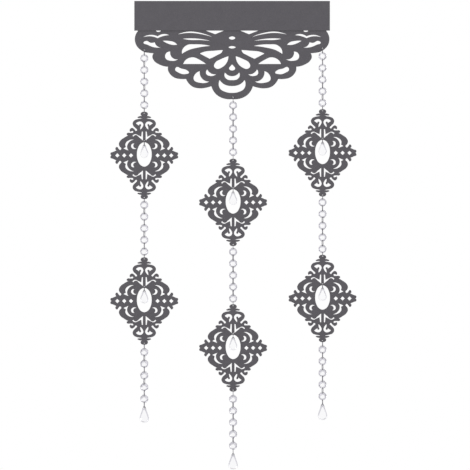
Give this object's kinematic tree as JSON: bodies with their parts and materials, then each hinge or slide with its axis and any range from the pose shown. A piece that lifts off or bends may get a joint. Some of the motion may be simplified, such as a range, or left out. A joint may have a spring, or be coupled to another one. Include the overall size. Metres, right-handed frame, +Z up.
{
  "type": "window valance",
  "caption": "Scalloped cut-out lace valance under a plain heading band, with strings of glass beads, cut-out medallions and clear drops.",
  "frame": {"origin": "middle of the heading's top edge, at half the heading's thickness", "axes": "+Z up, -Y towards the front that shows, +X to the right as seen from the front"},
  "size_m": [0.4405, 0.011, 0.8395],
  "materials": {
    "cloth": "matte",
    "crystal": "clear",
    "wire": "bright"
  },
  "bodies": {
    "valance": {"heading": "cloth", "lace": "cloth"},
    "left_run_1": {"left_run_1": "crystal"},
    "left_medallion_1": {"left_medallion_1": "cloth"},
    "left_oval_drop_1": {"left_oval_ring_1": "wire", "left_oval_drop_1": "crystal"},
    "left_run_2": {"left_run_2": "crystal"},
    "left_medallion_2": {"left_medallion_2": "cloth"},
    "left_oval_drop_2": {"left_oval_ring_2": "wire", "left_oval_drop_2": "crystal"},
    "left_run_3": {"left_run_3": "crystal"},
    "left_end_drop": {"left_end_drop": "crystal"},
    "centre_run_1": {"centre_run_1": "crystal"},
    "centre_medallion_1": {"centre_medallion_1": "cloth"},
    "centre_oval_drop_1": {"centre_oval_ring_1": "wire", "centre_oval_drop_1": "crystal"},
    "centre_run_2": {"centre_run_2": "crystal"},
    "centre_medallion_2": {"centre_medallion_2": "cloth"},
    "centre_oval_drop_2": {"centre_oval_ring_2": "wire", "centre_oval_drop_2": "crystal"},
    "centre_run_3": {"centre_run_3": "crystal"},
    "centre_end_drop": {"centre_end_drop": "crystal"},
    "right_run_1": {"right_run_1": "crystal"},
    "right_medallion_1": {"right_medallion_1": "cloth"},
    "right_oval_drop_1": {"right_oval_ring_1": "wire", "right_oval_drop_1": "crystal"},
    "right_run_2": {"right_run_2": "crystal"},
    "right_medallion_2": {"right_medallion_2": "cloth"},
    "right_oval_drop_2": {"right_oval_ring_2": "wire", "right_oval_drop_2": "crystal"},
    "right_run_3": {"right_run_3": "crystal"},
    "right_end_drop": {"right_end_drop": "crystal"}
  },
  "joints": [
    {"name": "left_run_1_swing", "type": "hinge", "parent": "valance", "child": "left_run_1", "pos_m": [-0.1573, 0.0018, -0.0924], "axis": [1, 0, 0], "range_deg": [-30, 30]},
    {"name": "left_medallion_1_swing", "type": "hinge", "parent": "left_run_1", "child": "left_medallion_1", "pos_m": [-0.1573, 0.0018, -0.1956], "axis": [1, 0, 0], "range_deg": [-20, 20]},
    {"name": "left_oval_drop_1_swing", "type": "hinge", "parent": "left_medallion_1", "child": "left_oval_drop_1", "pos_m": [-0.1573, 0.0018, -0.2547], "axis": [1, 0, 0], "range_deg": [-30, 30]},
    {"name": "left_run_2_swing", "type": "hinge", "parent": "left_medallion_1", "child": "left_run_2", "pos_m": [-0.1573, 0.0018, -0.35605], "axis": [1, 0, 0], "range_deg": [-20, 20]},
    {"name": "left_medallion_2_swing", "type": "hinge", "parent": "left_run_2", "child": "left_medallion_2", "pos_m": [-0.1573, 0.0018, -0.45735], "axis": [1, 0, 0], "range_deg": [-20, 20]},
    {"name": "left_oval_drop_2_swing", "type": "hinge", "parent": "left_medallion_2", "child": "left_oval_drop_2", "pos_m": [-0.1573, 0.0018, -0.5155], "axis": [1, 0, 0], "range_deg": [-30, 30]},
    {"name": "left_run_3_swing", "type": "hinge", "parent": "left_medallion_2", "child": "left_run_3", "pos_m": [-0.1573, 0.0018, -0.6183], "axis": [1, 0, 0], "range_deg": [-20, 20]},
    {"name": "left_end_drop_swing", "type": "hinge", "parent": "left_run_3", "child": "left_end_drop", "pos_m": [-0.1573, 0.0018, -0.7225], "axis": [1, 0, 0], "range_deg": [-30, 30]},
    {"name": "centre_run_1_swing", "type": "hinge", "parent": "valance", "child": "centre_run_1", "pos_m": [0.0018, 0.0018, -0.1769], "axis": [1, 0, 0], "range_deg": [-30, 30]},
    {"name": "centre_medallion_1_swing", "type": "hinge", "parent": "centre_run_1", "child": "centre_medallion_1", "pos_m": [0.0018, 0.0018, -0.2799], "axis": [1, 0, 0], "range_deg": [-20, 20]},
    {"name": "centre_oval_drop_1_swing", "type": "hinge", "parent": "centre_medallion_1", "child": "centre_oval_drop_1", "pos_m": [0.0018, 0.0018, -0.3389], "axis": [1, 0, 0], "range_deg": [-30, 30]},
    {"name": "centre_run_2_swing", "type": "hinge", "parent": "centre_medallion_1", "child": "centre_run_2", "pos_m": [0.0018, 0.0018, -0.4402], "axis": [1, 0, 0], "range_deg": [-20, 20]},
    {"name": "centre_medallion_2_swing", "type": "hinge", "parent": "centre_run_2", "child": "centre_medallion_2", "pos_m": [0.0018, 0.0018, -0.5414], "axis": [1, 0, 0], "range_deg": [-20, 20]},
    {"name": "centre_oval_drop_2_swing", "type": "hinge", "parent": "centre_medallion_2", "child": "centre_oval_drop_2", "pos_m": [0.0018, 0.0018, -0.5995], "axis": [1, 0, 0], "range_deg": [-30, 30]},
    {"name": "centre_run_3_swing", "type": "hinge", "parent": "centre_medallion_2", "child": "centre_run_3", "pos_m": [0.0018, 0.0018, -0.7023], "axis": [1, 0, 0], "range_deg": [-20, 20]},
    {"name": "centre_end_drop_swing", "type": "hinge", "parent": "centre_run_3", "child": "centre_end_drop", "pos_m": [0.0018, 0.0018, -0.8065], "axis": [1, 0, 0], "range_deg": [-30, 30]},
    {"name": "right_run_1_swing", "type": "hinge", "parent": "valance", "child": "right_run_1", "pos_m": [0.162, 0.0018, -0.0891], "axis": [1, 0, 0], "range_deg": [-30, 30]},
    {"name": "right_medallion_1_swing", "type": "hinge", "parent": "right_run_1", "child": "right_medallion_1", "pos_m": [0.162, 0.0018, -0.1915], "axis": [1, 0, 0], "range_deg": [-20, 20]},
    {"name": "right_oval_drop_1_swing", "type": "hinge", "parent": "right_medallion_1", "child": "right_oval_drop_1", "pos_m": [0.162, 0.0018, -0.2502], "axis": [1, 0, 0], "range_deg": [-30, 30]},
    {"name": "right_run_2_swing", "type": "hinge", "parent": "right_medallion_1", "child": "right_run_2", "pos_m": [0.162, 0.0018, -0.35152], "axis": [1, 0, 0], "range_deg": [-20, 20]},
    {"name": "right_medallion_2_swing", "type": "hinge", "parent": "right_run_2", "child": "right_medallion_2", "pos_m": [0.162, 0.0018, -0.45277], "axis": [1, 0, 0], "range_deg": [-20, 20]},
    {"name": "right_oval_drop_2_swing", "type": "hinge", "parent": "right_medallion_2", "child": "right_oval_drop_2", "pos_m": [0.162, 0.0018, -0.5109], "axis": [1, 0, 0], "range_deg": [-30, 30]},
    {"name": "right_run_3_swing", "type": "hinge", "parent": "right_medallion_2", "child": "right_run_3", "pos_m": [0.162, 0.0018, -0.6137], "axis": [1, 0, 0], "range_deg": [-20, 20]},
    {"name": "right_end_drop_swing", "type": "hinge", "parent": "right_run_3", "child": "right_end_drop", "pos_m": [0.162, 0.0018, -0.7179], "axis": [1, 0, 0], "range_deg": [-30, 30]}
  ]
}
